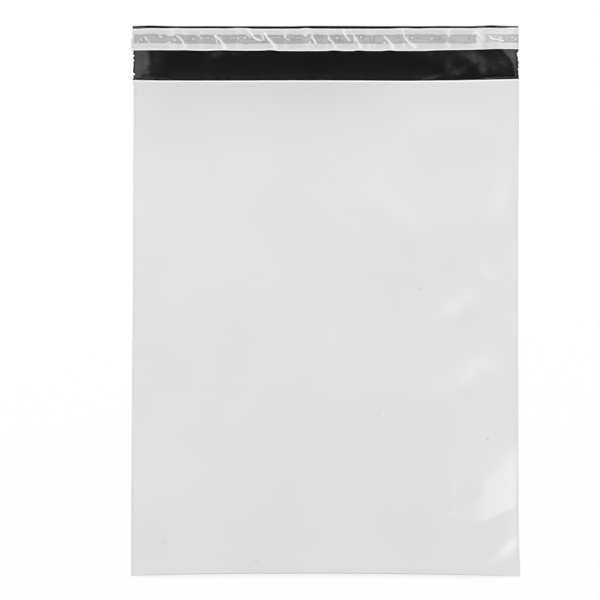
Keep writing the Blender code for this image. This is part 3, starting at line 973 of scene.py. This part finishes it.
def linerFilm():        # milky film: pale over air, darker where it is wetted out, darkest round each bubble
    material, tree, shader = newMaterial("siliconised release film")
    stuck, pale = (addNode(tree, "ShaderNodeAttribute", {"attribute_name": name}).outputs["Fac"]
                   for name in ("stuckDown", "paleness"))
    wetting = addNode(tree, "ShaderNodeValToRGB", {}, {}, {"Fac": stuck})
    setRamp(wetting, [(spot, hexColor(code)) for spot, code in linerFinish["wetting"]])
    # paler on creases, waves and slit edges: whitened film and painted highlight
    paleAndHighlight = addNode(tree, "ShaderNodeMix", {"data_type": "RGBA"}, {"B": hexColor(linerFinish["paleAndHighlight"])},
                       {"Factor": pale, "A": wetting.outputs["Color"]})
    tree.links.new(paleAndHighlight.outputs["Result"], shader.inputs["Base Color"])
    shader.inputs["Roughness"].default_value = linerFinish["roughness"]
    return material


# studio: white floor, a dark cap straight overhead with soft light round it that falls to a low
# tone further out, and one key softbox on the flap's side
studio = {
    "floorSize": 6.0,
    "floorTone": "#FEFEFE",
    "floorRoughness": 0.9,
    "floorGlow": 0.75,        # share of the floor's white that no shadow reaches
    "floorDrop": 0.2 * mm,        # below the film
    "capTone": 0.08,
    "capWide": 19.8,        # degrees from straight overhead to the cap's edge left and right
    "capNear": 16.4,        # towards the bottom fold
    "capFar": 30,        # and towards the flap
    "capSoftness": 0.1,
    "ringTone": 1.8,        # of the light round the cap
    "ringEdge": (28, 38),        # degrees over which it falls to the low tone
    "lowTone": 0.36,
    "keyPower": 1000.0,
    "keyDistance": 10.0,
    "keyZenith": 60,
    "keyAzimuth": 94,
    "keySize": 4.0,
}


def buildFloor():
    bm = bmesh.new()
    bmesh.ops.create_grid(bm, x_segments=1, y_segments=1, size=studio["floorSize"] / 2)
    bmesh.ops.translate(bm, verts=bm.verts, vec=Vector((0, 0, -studio["floorDrop"])))
    material, tree, shader = newMaterial("white studio floor")
    shader.inputs["Base Color"].default_value = hexColor(studio["floorTone"])
    shader.inputs["Roughness"].default_value = studio["floorRoughness"]
    shader.inputs["Specular IOR Level"].default_value = 0
    seen = addNode(tree, "ShaderNodeLightPath").outputs["Is Camera Ray"]
    share = addNode(tree, "ShaderNodeMath", {"operation": "MULTIPLY"}, {1: studio["floorGlow"]}, {0: seen})
    glow = addNode(tree, "ShaderNodeEmission", {}, {"Strength": 1.0})
    both = addNode(tree, "ShaderNodeMixShader", {}, {}, {
        0: share.outputs[0], 1: shader.outputs["BSDF"], 2: glow.outputs["Emission"]})
    tree.links.new(both.outputs["Shader"], tree.nodes["Material Output"].inputs["Surface"])
    floor = addPiece("studioFloor", bm, [material])


def buildWorld():
    world = bpy.data.worlds.new("studio dome")
    bpy.context.scene.world = world
    world.use_nodes = True
    tree = world.node_tree
    place = addNode(tree, "ShaderNodeTexCoord").outputs["Generated"]
    axes = addNode(tree, "ShaderNodeSeparateXYZ", {}, {}, {"Vector": place}).outputs
    inner, outer = (math.cos(math.radians(angle)) for angle in studio["ringEdge"])
    above = addNode(tree, "ShaderNodeMapRange", {"interpolation_type": "SMOOTHSTEP"},
                    {"From Min": outer, "From Max": inner}, {"Value": axes["Z"]}).outputs["Result"]
    # the cap's outline is an oval, squarer than an ellipse and wider towards the flap
    wide, near, far = (1 / math.sin(math.radians(studio[key])) for key in ("capWide", "capNear", "capFar"))
    across, nearer, farther = (
        addNode(tree, "ShaderNodeMath", {"operation": "MULTIPLY"}, {1: stretch}, {0: axes[axis]}).outputs[0]
        for axis, stretch in (("X", wide), ("Y", -near), ("Y", far)))
    along = addNode(tree, "ShaderNodeMath", {"operation": "MAXIMUM"}, {}, {0: nearer, 1: farther}).outputs[0]
    oval = addNode(tree, "ShaderNodeCombineXYZ", {}, {}, {"X": across, "Y": along}).outputs["Vector"]
    squared = addNode(tree, "ShaderNodeVectorMath", {"operation": "MULTIPLY"}, {}, {0: oval, 1: oval})
    reach = addNode(tree, "ShaderNodeVectorMath", {"operation": "LENGTH"}, {}, {0: squared.outputs["Vector"]})
    softness = studio["capSoftness"]
    outside = addNode(tree, "ShaderNodeMapRange", {"interpolation_type": "SMOOTHSTEP"},
                      {"From Min": 1 - softness, "From Max": 1 + softness},
                      {"Value": reach.outputs["Value"]}).outputs["Result"]
    ring = addNode(tree, "ShaderNodeMix", {"data_type": "FLOAT"},
                   {"A": studio["lowTone"], "B": studio["ringTone"]}, {"Factor": above}).outputs["Result"]
    dome = addNode(tree, "ShaderNodeMix", {"data_type": "FLOAT"}, {"A": studio["capTone"]},
                   {"Factor": outside, "B": ring}).outputs["Result"]
    seen = addNode(tree, "ShaderNodeLightPath").outputs["Is Camera Ray"]
    backdrop = addNode(tree, "ShaderNodeMix", {"data_type": "FLOAT"}, {"B": 1.0}, {"Factor": seen, "A": dome})
    background = tree.nodes["Background"]
    tree.links.new(backdrop.outputs["Result"], background.inputs["Strength"])
    background.inputs["Color"].default_value = (1, 1, 1, 1)


def buildKey():
    light = bpy.data.lights.new("key softbox", "AREA")
    light.shape = "SQUARE"
    light.size = studio["keySize"]
    light.energy = studio["keyPower"]
    key = bpy.data.objects.new("key softbox", light)
    zenith = math.radians(studio["keyZenith"])
    azimuth = math.radians(studio["keyAzimuth"])
    outward = math.sin(zenith)
    side = Vector((math.cos(azimuth) * outward, math.sin(azimuth) * outward, math.cos(zenith)))
    key.location = side * studio["keyDistance"]
    key.rotation_euler = side.to_track_quat("Z", "Y").to_euler()
    bpy.context.scene.collection.objects.link(key)


overhead = {
    "lens": 100,
    "sensor": 36,
    "frameWidth": 542.6 * mm,        # of the photo's frame at the bag
    "aim": (-22.9 * mm, 0.9 * mm),
}


def buildCamera():
    data = bpy.data.cameras.new("overhead camera")
    camera = bpy.data.objects.new("overhead camera", data)
    data.lens = overhead["lens"]
    data.sensor_width = overhead["sensor"]
    height = overhead["frameWidth"] * data.lens / data.sensor_width
    camera.location = Vector((*overhead["aim"], height))
    bpy.context.scene.collection.objects.link(camera)
    bpy.context.scene.camera = camera


bag = buildFilmBag(blownFilmWhite(), blownFilmBlack())
glue = buildGlue(hotMelt())
liner = buildLiner(linerFilm())

for piece, node, slotName in ((bag, "mailer_bag", "film"), (glue, "adhesive_strip", "adhesive"),
                              (liner, "release_liner", "liner")):
    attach(piece, "root")
    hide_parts(node)

buildFloor()
buildWorld()
buildKey()
buildCamera()
bpy.context.scene.view_settings.view_transform = "Standard"
print("studio and camera in place")
